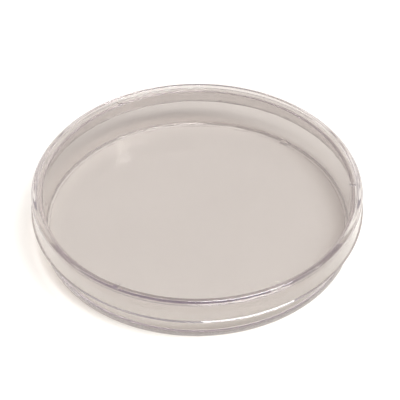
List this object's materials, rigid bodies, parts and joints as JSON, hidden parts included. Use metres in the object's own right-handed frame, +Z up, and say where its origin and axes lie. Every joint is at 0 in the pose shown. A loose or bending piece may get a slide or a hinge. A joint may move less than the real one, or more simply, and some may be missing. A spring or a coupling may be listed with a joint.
{
  "type": "petri dish",
  "caption": "Clear plastic petri dish: a shallow round dish with a flat floor and its overlapping lid, with a stacking ring on top and vent nibs inside.",
  "frame": {"origin": "centre of the plane that the dish stands on, on the dish's axis", "axes": "+Z up along the dish's axis, from the dish's floor to its lid; the dish is round, so +X and +Y only place the three vent nibs, the tab and the gate mark: one nib lies near +X, the tab towards +X and -Y, and the gate mark towards +X and +Y"},
  "size_m": [0.0936, 0.0936, 0.015],
  "materials": {
    "clear_polystyrene": "clear, polished moulded polystyrene with a faint warm grey cast"
  },
  "bodies": {
    "dish": {"base": "clear_polystyrene"},
    "cover": {"lid": "clear_polystyrene"}
  },
  "joints": [
    {"name": "lid_lift", "type": "slide", "parent": "dish", "child": "cover", "axis": [0, 0, 1], "range_m": [0, 0.03]}
  ]
}
